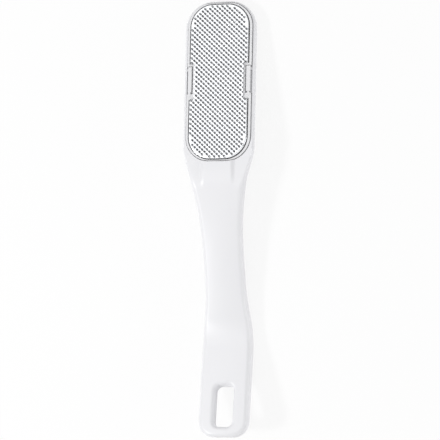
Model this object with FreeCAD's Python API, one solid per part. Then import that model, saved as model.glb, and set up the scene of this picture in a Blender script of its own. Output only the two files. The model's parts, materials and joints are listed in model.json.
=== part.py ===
import FreeCAD, Part
import math
import os

# Foot file: a bent plastic handle of two shells, with a lift-out cartridge in its head.
# The cartridge is a carrier frame, a perforated rasp plate and two release fingers.
# Everything is drawn in the frame of the plate (X across, Y to the head's tip, Z out of the plate,
# zero on the plate's border at its middle) and is laid down on its back at the end.
# Lengths are in millimetres, angles in degrees.

Vector = FreeCAD.Vector

# Rasp plate
plate_width = 32.0
plate_length = 83.0
plate_corner_radius = 12.0
sheet_thickness = 0.5
border_width = 0.45
field_height = 0.4
field_corner_radius = 12.4
skirt_depth = 1.5
skirt_bend_radius = 0.4
hole_pitch_across = 2.7
hole_pitch_along = 2.52
hole_length = 1.45
hole_width = 1.0
hole_turn_angle = -45.0
hole_edge_margin = 0.63
hole_edge_gap = 0.03
notch_length = 20.0
notch_depth = 2.35

# Carrier
side_ledge = 1.65
end_ledge = 0.9
ledge_drop = 0.5
ledge_edge_radius = 0.25
carrier_corner_radius = 13.0
carrier_depth = 2.6
groove_depth = 2.0
groove_outer_clearance = 0.45
groove_inner_clearance = 0.15
window_rail = 1.2
notch_land = 0.4
plug_inset = 1.0
plug_depth = 5.2
seat_clearance = 0.3

# Release fingers
finger_thickness = 2.2
finger_free_length = 15.15
finger_rise = 1.8
finger_top_drop = 0.1
finger_floor_clearance = 0.1
finger_end_clearance = 0.3
finger_outer_drop = 0.5
finger_swing = 0.55
finger_edge_radius = 0.3
knuckle_radius = 0.9
knuckle_clearance = 0.05
knuckle_inset = 1.45
finger_root_y = -7.0
neck_thickness = 1.1
neck_length = 1.4
socket_wrap = 0.4
bead_radius = 0.77
bead_height = 0.5
bead_setback = 1.6

# Handle in plan
head_width = 38.6
tip_lip = 0.8
shoulder_y = -36.0
waist_start_y = -93.0
waist_end_y = -107.0
waist_width = 21.5
grip_start_y = -148.0
grip_width = 27.1
tail_y = -187.3
tail_corner_radius = 8.7
shoulder_start_share = 0.1
shoulder_end_share = 0.625
grip_start_share = 0.325
grip_end_share = 0.625

# Handle from the side
front_drop = 0.2
head_thickness = 7.0
belly_thickness = 9.8
tail_thickness = 8.8
neck_bend_y = -50.6
slope_length = 85.7
slope_angle = 19.1
tail_angle = 7.35
neck_bend_radius = 25.0
belly_bend_radius = 40.0
front_edge_radius = 2.8
back_edge_radius = 3.3

# Head and inside of the handle
lip_drop = 1.3
tongue_width = 17.0
pocket_depth = 5.6
wall = 2.0
bulkhead_y = -45.5
post_radius = 2.6
pin_radius = 1.2
pin_clearance = 0.05
pin_length = 2.2
pin_end_clearance = 0.3
post_stations = (-66.0, -98.0, -134.0)

# Hanging slot
slot_width = 10.6
slot_length = 22.5
slot_corner_radius = 3.2
slot_tail_margin = 5.2
slot_edge_radius = 2.0

# How far every cutter runs past the face that it cuts, and how near two points count as one
overrun = 5.0
tolerance = 1e-6


def rectangle_face(half_width, half_length, radius, height):
    """Flat rounded rectangle about the plate's middle at one height."""
    inner_x = half_width - radius
    inner_y = half_length - radius
    diagonal = radius * math.sqrt(0.5)
    edges = []
    signs = ((1, 1), (-1, 1), (-1, -1), (1, -1))
    for index, (sign_x, sign_y) in enumerate(signs):
        next_x, next_y = signs[(index + 1) % len(signs)]
        centre = Vector(sign_x * inner_x, sign_y * inner_y, height)
        along_x = Vector(sign_x * radius, 0, 0)
        along_y = Vector(0, sign_y * radius, 0)
        middle = centre + Vector(sign_x * diagonal, sign_y * diagonal, 0)
        first, last = (along_x, along_y) if sign_x == sign_y else (along_y, along_x)
        edges.append(Part.Arc(centre + first, middle, centre + last).toShape())
        next_centre = Vector(next_x * inner_x, next_y * inner_y, height)
        start = centre + last
        end = next_centre + last
        edges.append(Part.makeLine(start, end))
    return Part.Face(Part.Wire(edges))


def rectangle_slab(half_width, half_length, radius, bottom, top):
    """Rounded rectangle between two heights."""
    face = rectangle_face(half_width, half_length, radius, bottom)
    return face.extrude(Vector(0, 0, top - bottom))


def block(x_from, x_to, y_from, y_to, z_from, z_to):
    """Box between two corners."""
    corner = Vector(x_from, y_from, z_from)
    return Part.makeBox(x_to - x_from, y_to - y_from, z_to - z_from, corner)


def upright(radius, x, y, z_from, z_to):
    """Cylinder along the plate's normal."""
    return Part.makeCylinder(radius, z_to - z_from, Vector(x, y, z_from))


def rounded_polygon(corners):
    """Closed side-view outline from corners of (y, z, radius)."""
    edges = []
    joints = []
    count = len(corners)
    for index, (y, z, radius) in enumerate(corners):
        here = Vector(0, y, z)
        before = Vector(0, corners[index - 1][0], corners[index - 1][1])
        after = Vector(0, corners[(index + 1) % count][0], corners[(index + 1) % count][1])
        if radius == 0:
            joints.append((here, here))
            continue
        inward = (before - here).normalize()
        outward = (after - here).normalize()
        half_angle = inward.getAngle(outward) / 2
        reach = radius / math.tan(half_angle)
        start = here + inward * reach
        end = here + outward * reach
        bisector = (inward + outward).normalize()
        middle = here + bisector * (radius / math.sin(half_angle) - radius)
        edges.append(Part.Arc(start, middle, end).toShape())
        joints.append((start, end))
    for index in range(count):
        start = joints[index][1]
        end = joints[(index + 1) % count][0]
        edges.append(Part.makeLine(start, end))
    return Part.Wire(Part.__sortEdges__(edges))


def across(wire, half_span):
    """Side-view outline pulled through the whole width."""
    face = Part.Face(wire)
    face.translate(Vector(-half_span, 0, 0))
    return face.extrude(Vector(2 * half_span, 0, 0))


# Sizes that follow from the ones above
plate_half_width = plate_width / 2
plate_half_length = plate_length / 2
carrier_half_width = plate_half_width + side_ledge
carrier_half_length = plate_half_length + end_ledge
recess_half_width = carrier_half_width + seat_clearance
recess_half_length = carrier_half_length + seat_clearance
recess_corner_radius = carrier_corner_radius + seat_clearance
plug_half_width = plate_half_width - plug_inset
plug_half_length = plate_half_length - plug_inset
plug_corner_radius = plate_corner_radius - plug_inset
head_half_width = head_width / 2
waist_half_width = waist_width / 2
grip_half_width = grip_width / 2
tip_y = recess_half_length + tip_lip
head_corner_radius = recess_corner_radius + head_half_width - recess_half_width
half_span = head_half_width + overrun
cut_top = field_height + overrun
slope = math.radians(slope_angle)
tail_slope = math.radians(tail_angle)

# Middle line of the handle in side view: flat head, slope down, tail rising again
neck_half = head_thickness / 2
belly_half = belly_thickness / 2
tail_half = tail_thickness / 2
neck_point = (neck_bend_y, -front_drop - neck_half)
belly_point = (
    neck_point[0] - slope_length * math.cos(slope),
    neck_point[1] - slope_length * math.sin(slope),
)
tail_reach = (belly_point[0] - tail_y) / math.cos(tail_slope)
tail_point = (tail_y, belly_point[1] + tail_reach * math.sin(tail_slope))
lowest = belly_point[1] - belly_half - overrun


def offset_points(inset, side):
    """Neck, belly and tail corners of one face of the handle.

    side is +1 for the front and -1 for the back, inset is the depth below that face.
    """
    neck = side * (neck_half - inset)
    belly = side * (belly_half - inset)
    tail = side * (tail_half - inset)
    lean = (slope - tail_slope) / 2
    stretch = belly / math.cos((slope + tail_slope) / 2)
    neck_corner = (
        neck_point[0] - neck * math.tan(slope / 2),
        neck_point[1] + neck,
        neck_bend_radius + neck,
    )
    belly_corner = (
        belly_point[0] - stretch * math.sin(lean),
        belly_point[1] + stretch * math.cos(lean),
        belly_bend_radius - belly,
    )
    tail_corner = (
        tail_point[0] + tail * math.sin(tail_slope),
        tail_point[1] + tail * math.cos(tail_slope),
    )
    past_y = overrun * math.cos(tail_slope)
    past_z = overrun * math.sin(tail_slope)
    tail_end = (tail_corner[0] - past_y, tail_corner[1] + past_z, 0)
    return neck_corner, belly_corner, tail_end


def handle_profile(inset, start_y):
    """Side-view outline of the handle, from start_y to past the tail."""
    front_neck, front_belly, front_tail = offset_points(inset, 1)
    back_neck, back_belly, back_tail = offset_points(inset, -1)
    corners = [
        (start_y, front_neck[1], 0),
        front_neck,
        front_belly,
        front_tail,
        back_tail,
        back_belly,
        back_neck,
        (start_y, back_neck[1], 0),
    ]
    return rounded_polygon(corners)


def middle_profile(height):
    """Side-view outline of everything in front of the parting line."""
    neck_corner = (neck_point[0], neck_point[1], neck_bend_radius)
    belly_corner = (belly_point[0], belly_point[1], belly_bend_radius)
    tail_end = (
        tail_point[0] - overrun * math.cos(tail_slope),
        tail_point[1] + overrun * math.sin(tail_slope),
        0,
    )
    corners = [
        (tip_y + overrun, neck_point[1], 0),
        neck_corner,
        belly_corner,
        tail_end,
        (tail_end[0], height, 0),
        (tip_y + overrun, height, 0),
    ]
    return rounded_polygon(corners)


def middle_height(y):
    """Height of the straight-legged middle line at one station."""
    if y > neck_point[0]:
        return neck_point[1]
    if y > belly_point[0]:
        return neck_point[1] + (y - neck_point[0]) * math.tan(slope)
    return belly_point[1] + (belly_point[0] - y) * math.tan(tail_slope)


def bezier(points):
    """Edge of one Bezier curve."""
    curve = Part.BezierCurve()
    curve.setPoles([Vector(x, y, 0) for x, y in points])
    return curve.toShape()


def corner_arc(centre_x, centre_y, radius, start_angle):
    """Quarter circle that turns counter-clockwise from start_angle."""
    points = []
    for turn in (0, 45, 90):
        angle = math.radians(start_angle + turn)
        points.append(Vector(centre_x + radius * math.cos(angle), centre_y + radius * math.sin(angle), 0))
    return Part.Arc(*points).toShape()


def plan_prism(inset):
    """Outline of the handle seen along the plate's normal, inset from its walls, as a tall column."""
    head = head_half_width - inset
    waist = waist_half_width - inset
    grip = grip_half_width - inset
    shoulder_run = shoulder_y - waist_start_y
    grip_run = waist_end_y - grip_start_y
    shoulder_curve = [
        (head, shoulder_y),
        (head, shoulder_y - shoulder_start_share * shoulder_run),
        (waist, waist_start_y + shoulder_end_share * shoulder_run),
        (waist, waist_start_y),
    ]
    grip_curve = [
        (waist, waist_end_y),
        (waist, waist_end_y - grip_start_share * grip_run),
        (grip, grip_start_y + grip_end_share * grip_run),
        (grip, grip_start_y),
    ]
    tip_radius = head_corner_radius - inset
    tail_radius = tail_corner_radius - inset
    tip_inner_x = head - tip_radius
    tip_inner_y = tip_y - head_corner_radius
    tail_inner_x = grip - tail_radius
    tail_inner_y = tail_y + tail_corner_radius
    right = [
        corner_arc(tip_inner_x, tip_inner_y, tip_radius, 0),
        Part.makeLine(Vector(head, tip_inner_y, 0), Vector(head, shoulder_y, 0)),
        bezier(shoulder_curve),
        Part.makeLine(Vector(waist, waist_start_y, 0), Vector(waist, waist_end_y, 0)),
        bezier(grip_curve),
        Part.makeLine(Vector(grip, grip_start_y, 0), Vector(grip, tail_inner_y, 0)),
        corner_arc(tail_inner_x, tail_inner_y, tail_radius, 270),
    ]
    left = [edge.mirror(Vector(0, 0, 0), Vector(1, 0, 0)) for edge in right]
    tip_end_y = tip_y - inset
    tail_end_y = tail_y + inset
    ends = [
        Part.makeLine(Vector(-tip_inner_x, tip_end_y, 0), Vector(tip_inner_x, tip_end_y, 0)),
        Part.makeLine(Vector(-tail_inner_x, tail_end_y, 0), Vector(tail_inner_x, tail_end_y, 0)),
    ]
    face = Part.Face(Part.Wire(Part.__sortEdges__(right + left + ends)))
    face.translate(Vector(0, 0, lowest))
    return face.extrude(Vector(0, 0, cut_top - lowest))


def rim_edges(solid, side):
    """Edges where the handle's walls meet its front (+1) or back (-1)."""
    chosen = []
    for edge in solid.Edges:
        first = edge.Vertexes[0].Point
        last = edge.Vertexes[-1].Point
        span = last - first
        middle = edge.valueAt((edge.FirstParameter + edge.LastParameter) / 2)
        upright_edge = abs(span.x) < tolerance and abs(span.y) < tolerance
        inside = tail_y + tolerance < middle.y < tip_y - tolerance
        seam = abs(span.y) < tolerance and abs(span.z) < tolerance and inside
        if upright_edge or seam:
            continue
        if side * (middle.z - middle_height(middle.y)) > 0:
            chosen.append(edge)
    return chosen


# Handle: plan outline and side outline pulled through each other, edges rounded
handle = plan_prism(0).common(across(handle_profile(0, tip_y + overrun), half_span))
handle = handle.Solids[0]
handle = handle.makeFillet(front_edge_radius, rim_edges(handle, 1))
handle = handle.makeFillet(back_edge_radius, rim_edges(handle, -1))

# Hanging slot, square to the tail, with rounded edges
slot_reach = slot_tail_margin + slot_length / 2
slot_centre = Vector(
    0,
    tail_point[0] + slot_reach * math.cos(tail_slope),
    tail_point[1] - slot_reach * math.sin(tail_slope),
)
slot_turn = FreeCAD.Rotation(Vector(1, 0, 0), -tail_angle)
slot_place = FreeCAD.Placement(slot_centre, slot_turn)


def slot_prism(margin):
    """Solid of the hanging slot, larger by margin all round."""
    depth = tail_half + overrun
    shape = rectangle_slab(
        slot_width / 2 + margin,
        slot_length / 2 + margin,
        slot_corner_radius + margin,
        -depth,
        depth,
    )
    shape.Placement = slot_place
    return shape


handle = handle.cut(slot_prism(0)).Solids[0]
slot_box = slot_prism(slot_edge_radius)
slot_edges = []
for edge in handle.Edges:
    middle = edge.valueAt((edge.FirstParameter + edge.LastParameter) / 2)
    local = slot_place.inverse().multVec(middle)
    on_wall = slot_box.isInside(middle, tolerance, True)
    if on_wall and abs(abs(local.z) - tail_half) < slot_edge_radius:
        slot_edges.append(edge)
handle = handle.makeFillet(slot_edge_radius, slot_edges)

# Head: lip round the cartridge, recess for the carrier, dust pocket behind it
lip_cut = block(-half_span, half_span, belly_point[0], tip_y + overrun, -lip_drop, cut_top)
tongue = block(
    -tongue_width / 2,
    tongue_width / 2,
    belly_point[0] - overrun,
    0,
    -lip_drop - overrun,
    cut_top + overrun,
)
handle = handle.cut(lip_cut.cut(tongue))
recess = rectangle_slab(recess_half_width, recess_half_length, recess_corner_radius, -carrier_depth, cut_top)
pocket = rectangle_slab(
    plug_half_width + seat_clearance,
    plug_half_length + seat_clearance,
    plug_corner_radius + seat_clearance,
    -pocket_depth,
    cut_top,
)
handle = handle.cut(recess.fuse(pocket))

# Hollow of the grip, with posts that join the two shells
hollow = plan_prism(wall).common(across(handle_profile(wall, bulkhead_y), half_span))
hollow = hollow.cut(slot_prism(wall))
for station in post_stations:
    hollow = hollow.cut(upright(post_radius, 0, station, lowest, cut_top))
handle = handle.cut(hollow)

# Two shells, parted along the middle line, with pins on the back shell
in_front = across(middle_profile(cut_top), half_span)
front_shell = handle.common(in_front)
back_shell = handle.cut(in_front)
for station in post_stations:
    parting = middle_height(station)
    hole_top = parting + pin_length
    front_shell = front_shell.cut(
        upright(pin_radius + pin_clearance, 0, station, parting - pin_length, hole_top)
    )
    back_shell = back_shell.fuse(
        upright(pin_radius, 0, station, parting - pin_length, hole_top - pin_end_clearance)
    )
front_shell = front_shell.removeSplitter()
back_shell = back_shell.removeSplitter()

# Carrier: ledge frame and plug, with a groove for the plate's skirt
carrier = rectangle_slab(
    carrier_half_width, carrier_half_length, carrier_corner_radius, -carrier_depth, -ledge_drop
)
ledge_edges = [
    edge for edge in carrier.Edges
    if abs(edge.CenterOfMass.z + ledge_drop) < tolerance
]
carrier = carrier.makeFillet(ledge_edge_radius, ledge_edges)
plug = rectangle_slab(plug_half_width, plug_half_length, plug_corner_radius, -plug_depth, -carrier_depth)
carrier = carrier.fuse(plug)
support_inset = sheet_thickness + groove_inner_clearance
window_inset = support_inset + window_rail
window = rectangle_slab(
    plate_half_width - window_inset,
    plate_half_length - window_inset,
    plate_corner_radius - window_inset,
    -plug_depth - overrun,
    cut_top,
)
groove = rectangle_slab(
    plate_half_width + groove_outer_clearance,
    plate_half_length + groove_outer_clearance,
    plate_corner_radius + groove_outer_clearance,
    -groove_depth,
    cut_top,
)
support = rectangle_slab(
    plate_half_width - support_inset,
    plate_half_length - support_inset,
    plate_corner_radius - support_inset,
    -groove_depth - overrun,
    cut_top + overrun,
)
notch_half = notch_length / 2
notch_x = plate_half_width - notch_depth
land_x = notch_x - notch_land
land_half = notch_half - groove_outer_clearance
land = block(-half_span, half_span, -land_half, land_half, -groove_depth - overrun, cut_top + overrun)
between_lands = block(-land_x, land_x, -half_span, half_span, -plug_depth - 2 * overrun, cut_top + overrun)
window = window.cut(land.cut(between_lands))
carrier = carrier.cut(window).cut(groove.cut(support).cut(land))

# The rail that carries the plate is lowered along the straight runs, clear of the outermost holes
rail_x = plate_half_width - sheet_thickness
rail_y = plate_half_length - sheet_thickness
side_half = plate_half_length - plate_corner_radius
end_half = plate_half_width - plate_corner_radius
relief = block(-end_half, end_half, -rail_y, rail_y, -groove_depth, cut_top)
relief = relief.fuse(block(-rail_x, rail_x, land_half, side_half, -groove_depth, cut_top))
relief = relief.fuse(block(-rail_x, rail_x, -side_half, -land_half, -groove_depth, cut_top))
carrier = carrier.cut(relief)

# Release finger of the right side, turning on a knuckle at its tail end
finger_outer_x = carrier_half_width - finger_outer_drop
finger_inner_x = finger_outer_x - finger_thickness
finger_top = -finger_top_drop
finger_bottom = finger_top - finger_rise
finger_floor = finger_bottom - finger_floor_clearance
finger_tip_y = finger_root_y + finger_free_length
socket_mouth_y = finger_root_y + socket_wrap
knuckle_x = carrier_half_width - knuckle_inset
body_start_y = finger_root_y + neck_length

finger = block(finger_inner_x, finger_outer_x, body_start_y, finger_tip_y, finger_bottom, finger_top)
neck = block(
    knuckle_x - neck_thickness / 2,
    knuckle_x + neck_thickness / 2,
    finger_root_y,
    body_start_y + neck_length,
    finger_bottom,
    finger_top,
)
body_edges = [
    edge for edge in finger.Edges
    if abs(edge.CenterOfMass.z - finger_top) < tolerance and edge.CenterOfMass.y > body_start_y + tolerance
]
finger = finger.makeFillet(finger_edge_radius, body_edges)
neck_top = finger_top - finger_edge_radius
neck = neck.common(block(-half_span, half_span, -half_span, half_span, finger_bottom, neck_top))
knuckle = upright(knuckle_radius, knuckle_x, finger_root_y, finger_bottom, neck_top)
bead = upright(
    bead_radius, finger_outer_x, finger_tip_y - bead_setback, finger_bottom, finger_bottom + bead_height
)
finger = finger.fuse([neck, knuckle, bead]).removeSplitter()

bay_end_y = finger_tip_y + finger_end_clearance
bay_x = finger_inner_x - finger_swing
finger_bay = block(bay_x, half_span, socket_mouth_y, bay_end_y, finger_floor, cut_top)
socket = upright(knuckle_radius + knuckle_clearance, knuckle_x, finger_root_y, finger_floor, cut_top)
finger_bay = finger_bay.fuse(socket)
left_bay = finger_bay.mirror(Vector(0, 0, 0), Vector(1, 0, 0))
carrier = carrier.cut(finger_bay).cut(left_bay).removeSplitter()
left_finger = finger.mirror(Vector(0, 0, 0), Vector(1, 0, 0))

# Rasp plate: skirt and border, raised field, staggered oval holes
outer = rectangle_slab(plate_half_width, plate_half_length, plate_corner_radius, -skirt_depth, 0)
bend_edges = [edge for edge in outer.Edges if abs(edge.CenterOfMass.z) < tolerance]
outer = outer.makeFillet(skirt_bend_radius, bend_edges)
under_skirt = rectangle_slab(
    plate_half_width - sheet_thickness,
    plate_half_length - sheet_thickness,
    plate_corner_radius - sheet_thickness,
    -skirt_depth - overrun,
    -sheet_thickness,
)
step_inset = border_width + sheet_thickness
under_field = rectangle_slab(
    plate_half_width - step_inset,
    plate_half_length - step_inset,
    field_corner_radius - sheet_thickness,
    -skirt_depth - overrun,
    cut_top,
)
border = outer.cut(under_skirt).cut(under_field)

field_half_width = plate_half_width - border_width
field_half_length = plate_half_length - border_width
field_bottom = field_height - sheet_thickness


turn = math.radians(hole_turn_angle)
long_axis = Vector(math.cos(turn), math.sin(turn), 0) * (hole_length / 2)
short_axis = Vector(-math.sin(turn), math.cos(turn), 0) * (hole_width / 2)


def inside_field(x, y):
    """True where a whole hole fits in the field and its middle is not in a notch.

    Towards the field's outline an oval reaches as far as its two half axes do together.
    """
    across_x = abs(x) - (field_half_width - field_corner_radius)
    along_y = abs(y) - (field_half_length - field_corner_radius)
    way = Vector(math.copysign(max(across_x, 0), x), math.copysign(max(along_y, 0), y), 0)
    reach = way.Length
    if reach > tolerance:
        way.normalize()
    oval_reach = math.hypot(way.dot(long_axis), way.dot(short_axis))
    if reach > field_corner_radius - max(hole_edge_margin, oval_reach + hole_edge_gap):
        return False
    in_notch = abs(y) < notch_half and abs(x) > notch_x
    return not in_notch


columns = int(field_half_width / (hole_pitch_across / 2))
rows = int(field_half_length / (hole_pitch_along / 2))
field_outline = rectangle_face(field_half_width, field_half_length, field_corner_radius, field_bottom)
hole_wires = []
for row in range(-rows, rows + 1):
    for column in range(-columns, columns + 1):
        if (row + column) % 2 == 0:
            continue
        x = column * hole_pitch_across / 2
        y = row * hole_pitch_along / 2
        if not inside_field(x, y):
            continue
        centre = Vector(x, y, field_bottom)
        oval = Part.Ellipse(centre + long_axis, centre + short_axis, centre)
        hole_wires.append(Part.Wire(oval.toShape()))
field_face = Part.makeFace([field_outline.OuterWire] + hole_wires, "Part::FaceMakerBullseye")
field = field_face.extrude(Vector(0, 0, sheet_thickness))
plate = border.fuse(field)
for side in (1, -1):
    near = min(side * notch_x, side * half_span)
    far = max(side * notch_x, side * half_span)
    plate = plate.cut(block(near, far, -notch_half, notch_half, -skirt_depth - overrun, cut_top))
plate = plate.removeSplitter()

# Laid down on its back: the belly and the back edge of the head's tip touch the ground
back_belly = offset_points(0, -1)[1]
belly_lift = belly_bend_radius / math.cos((slope + tail_slope) / 2)
lean = (slope - tail_slope) / 2
belly_centre = Vector(
    0,
    belly_point[0] - belly_lift * math.sin(lean),
    belly_point[1] + belly_lift * math.cos(lean),
)
tip_centre = Vector(
    0,
    tip_y - back_edge_radius,
    neck_point[1] - neck_half + back_edge_radius,
)
between = tip_centre - belly_centre
radius_difference = back_edge_radius - back_belly[2]
pitch = math.atan2(between.z, between.y) - math.asin(radius_difference / between.Length)
lay_down = FreeCAD.Rotation(Vector(1, 0, 0), -math.degrees(pitch))
flat = handle.copy()
flat.Placement = FreeCAD.Placement(Vector(0, 0, 0), lay_down)
box = flat.optimalBoundingBox(False)
ground = lay_down.multVec(tip_centre).z - back_edge_radius
resting = FreeCAD.Placement(Vector(0, -(box.YMin + box.YMax) / 2, -ground), lay_down)

front_shell.Placement = resting
back_shell.Placement = resting
carrier.Placement = resting
plate.Placement = resting
finger.Placement = resting
left_finger.Placement = resting

os.makedirs("parts", exist_ok=True)
front_shell.exportStep("parts/front_handle_shell.step")
back_shell.exportStep("parts/back_handle_shell.step")
carrier.exportStep("parts/plate_carrier.step")
plate.exportStep("parts/rasp_plate.step")
finger.exportStep("parts/right_release_finger.step")
left_finger.exportStep("parts/left_release_finger.step")
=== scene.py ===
import json
import logging
import math
from collections.abc import Sequence
from dataclasses import dataclass, field
from enum import Enum
from typing import Any

import bpy
import numpy as np
from mathutils import Matrix, Vector


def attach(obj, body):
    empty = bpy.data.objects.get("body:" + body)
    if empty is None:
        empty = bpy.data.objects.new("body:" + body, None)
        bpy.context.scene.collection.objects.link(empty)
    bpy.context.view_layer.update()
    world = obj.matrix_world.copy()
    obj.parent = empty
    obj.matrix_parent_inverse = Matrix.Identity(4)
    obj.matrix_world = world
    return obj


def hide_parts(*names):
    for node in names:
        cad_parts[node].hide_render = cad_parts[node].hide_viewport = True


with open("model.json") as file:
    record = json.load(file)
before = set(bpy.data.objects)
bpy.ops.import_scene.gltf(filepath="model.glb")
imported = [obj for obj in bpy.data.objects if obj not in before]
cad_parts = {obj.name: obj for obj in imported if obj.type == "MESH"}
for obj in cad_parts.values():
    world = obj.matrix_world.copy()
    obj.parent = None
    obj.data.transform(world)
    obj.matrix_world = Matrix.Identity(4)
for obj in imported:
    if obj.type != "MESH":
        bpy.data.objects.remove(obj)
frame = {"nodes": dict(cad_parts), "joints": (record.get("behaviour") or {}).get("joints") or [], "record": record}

LOG = logging.getLogger("foot_file")
MILLI = 0.001
WHITE = (1.0, 1.0, 1.0, 1.0)
# Openness above which a surface counts as clear of any gap and gets no painted shade, and rays that measure it
OPEN_SHARE = 0.6
GAP_SAMPLES = 8
# Octaves of the noise patterns
SOFT_DETAIL = 2.0
BUSY_DETAIL = 3.0
# Sockets of the node that mixes two colours
MIX_SHARE = 0
MIX_FIRST = 6
MIX_SECOND = 7
MIX_COLOUR = 2
# Points nearer to the middle plane than this, in millimetres, lie on it
PLANE_TOLERANCE = 1e-7


class Slot(Enum):
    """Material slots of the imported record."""

    HANDLE = "handle_plastic"
    STEEL = "rasp_steel"


class Body(Enum):
    """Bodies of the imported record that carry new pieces."""

    HANDLE = "handle"
    CARTRIDGE = "cartridge"


class Level(Enum):
    """Lines of the side view, by how many half thicknesses they lie above the middle."""

    FRONT = 1
    PARTING = 0


class InnerEdge(Enum):
    """What the front shell ends at on its inner side."""

    RECESS = 0
    MIDDLE = 1
    SLOT = 2


def linear(code: str) -> tuple[float, float, float, float]:
    """Turns an sRGB hex colour into linear light.

    Args:
        code: colour such as "#EDEEF0".

    Returns:
        Red, green, blue and alpha in linear light.
    """
    shares = [int(code[start:start + 2], 16) / 255 for start in (1, 3, 5)]
    light = [s / 12.92 if s <= 0.04045 else ((s + 0.055) / 1.055) ** 2.4 for s in shares]
    return (light[0], light[1], light[2], 1.0)


def add_node(
    owner: Any, kind: str, inputs: dict[Any, Any] | None = None, **settings: Any
) -> bpy.types.Node:
    """Adds one node, sets it up and links it.

    Args:
        owner: material or world whose node tree takes the node.
        kind: node type name.
        inputs: value, or output socket to link from, for each input name or number.
        settings: attributes of the node itself.

    Returns:
        The new node.
    """
    tree = owner.node_tree
    node = tree.nodes.new(kind)
    for name, value in settings.items():
        setattr(node, name, value)
    for name, value in (inputs or {}).items():
        if isinstance(value, bpy.types.NodeSocket):
            tree.links.new(value, node.inputs[name])
        else:
            node.inputs[name].default_value = value
    return node


def blank_material(name: str) -> bpy.types.Material:
    """Makes a material with an empty node tree."""
    material = bpy.data.materials.new(name)
    material.use_nodes = True
    material.node_tree.nodes.clear()
    return material


def paint_gap_shade(
    material: bpy.types.Material, tint: bpy.types.NodeSocket, reach_mm: float, shade: float
) -> bpy.types.NodeSocket:
    """Darkens a colour where walls stand close together: painted shade in narrow gaps.

    Args:
        material: material that takes the nodes.
        tint: clean colour.
        reach_mm: how near a wall counts.
        shade: share of the colour that is left in the tightest gap.

    Returns:
        The colour with the painted gap shade.
    """
    # Painted shade: the colour is darkened where the occlusion rays find walls close by
    gap = add_node(
        material, "ShaderNodeAmbientOcclusion", {"Distance": reach_mm * MILLI}, samples=GAP_SAMPLES,
    )
    gap_darkening = add_node(
        material, "ShaderNodeMapRange",
        {"Value": gap.outputs["AO"], "From Max": OPEN_SHARE, "To Min": shade},
    )
    gap_shaded = add_node(
        material, "ShaderNodeMix",
        {MIX_SHARE: 1.0, MIX_FIRST: tint, MIX_SECOND: gap_darkening.outputs["Result"]},
        data_type="RGBA", blend_type="MULTIPLY",
    )
    return gap_shaded.outputs[MIX_COLOUR]


@dataclass(frozen=True)
class MouldedPlastic:
    """Injection-moulded white plastic, satin gloss.

    The eye gets a soft broad highlight, a faint mottle where the melt flowed, a very fine tool
    texture that breaks the highlight up and painted shade that greys the narrow gaps.
    """

    name: str
    colour: str
    flow_colour: str
    roughness: float
    roughness_spread: float
    flow_size_mm: float = 28.0
    touch_size_mm: float = 7.0
    # Real tool texture is finer: it is drawn this coarse so that it shows
    grain_size_mm: float = 0.7
    grain_height_mm: float = 0.006
    ior: float = 1.49
    # Reach and strength of the painted shade in narrow gaps
    gap_reach_mm: float = 1.0
    gap_shade: float = 0.72

    def build(self) -> bpy.types.Material:
        """Builds the node tree: noise for mottle, for touch marks and for tool texture.

        Returns:
            The finished material.
        """
        material = blank_material(self.name)
        place = add_node(material, "ShaderNodeTexCoord").outputs["Object"]
        flow = add_node(
            material, "ShaderNodeTexNoise",
            {"Vector": place, "Scale": 1 / (self.flow_size_mm * MILLI), "Detail": SOFT_DETAIL},
        )
        touch = add_node(
            material, "ShaderNodeTexNoise",
            {"Vector": place, "Scale": 1 / (self.touch_size_mm * MILLI), "Detail": BUSY_DETAIL},
        )
        grain = add_node(
            material, "ShaderNodeTexNoise",
            {"Vector": place, "Scale": 1 / (self.grain_size_mm * MILLI), "Detail": SOFT_DETAIL},
        )
        tint = add_node(
            material, "ShaderNodeMix",
            {
                MIX_SHARE: flow.outputs["Fac"],
                MIX_FIRST: linear(self.colour),
                MIX_SECOND: linear(self.flow_colour),
            },
            data_type="RGBA",
        )
        # Painted shade greys the colour in the narrow gaps
        gap_shaded = paint_gap_shade(material, tint.outputs[MIX_COLOUR], self.gap_reach_mm, self.gap_shade)
        gloss = add_node(
            material, "ShaderNodeMapRange",
            {
                "Value": touch.outputs["Fac"],
                "To Min": self.roughness - self.roughness_spread,
                "To Max": self.roughness + self.roughness_spread,
            },
        )
        bump = add_node(
            material, "ShaderNodeBump",
            {"Height": grain.outputs["Fac"], "Distance": self.grain_height_mm * MILLI, "Strength": 1.0},
        )
        shader = add_node(
            material, "ShaderNodeBsdfPrincipled",
            {
                "Base Color": gap_shaded,
                "Roughness": gloss.outputs["Result"],
                "IOR": self.ior,
                "Normal": bump.outputs["Normal"],
            },
        )
        add_node(material, "ShaderNodeOutputMaterial", {"Surface": shader.outputs["BSDF"]})
        return material


@dataclass(frozen=True)
class PlateFrame:
    """Frame of the rasp plate: X across, Y to the tip, Z out of the plate, zero on its border."""

    origin: np.ndarray
    along: np.ndarray
    normal: np.ndarray

    @classmethod
    def from_record(cls, head_depth_mm: float) -> "PlateFrame":
        """Reads the frame from the record: the cartridge's slide and the back of the head.

        Args:
            head_depth_mm: depth of the head's back below the plate's border.

        Returns:
            The plate's frame in the row frame.
        """
        slide = next(j for j in frame["joints"] if j["name"] == "cartridge_lift")
        back = next(m for m in frame["record"]["mounts"] if m["name"] == "head_back")
        normal = np.array(slide["axis"], float)
        normal /= np.linalg.norm(normal)
        along = np.array([0.0, normal[2], -normal[1]])
        return cls(np.array(back["pos_m"]) + normal * head_depth_mm * MILLI, along, normal)

    def place(self, points: np.ndarray) -> np.ndarray:
        """Carries points in millimetres of the plate's frame to metres of the row frame."""
        across = np.array([1.0, 0.0, 0.0])
        scaled = points * MILLI
        return (
            self.origin
            + scaled[..., 0:1] * across
            + scaled[..., 1:2] * self.along
            + scaled[..., 2:3] * self.normal
        )


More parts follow.
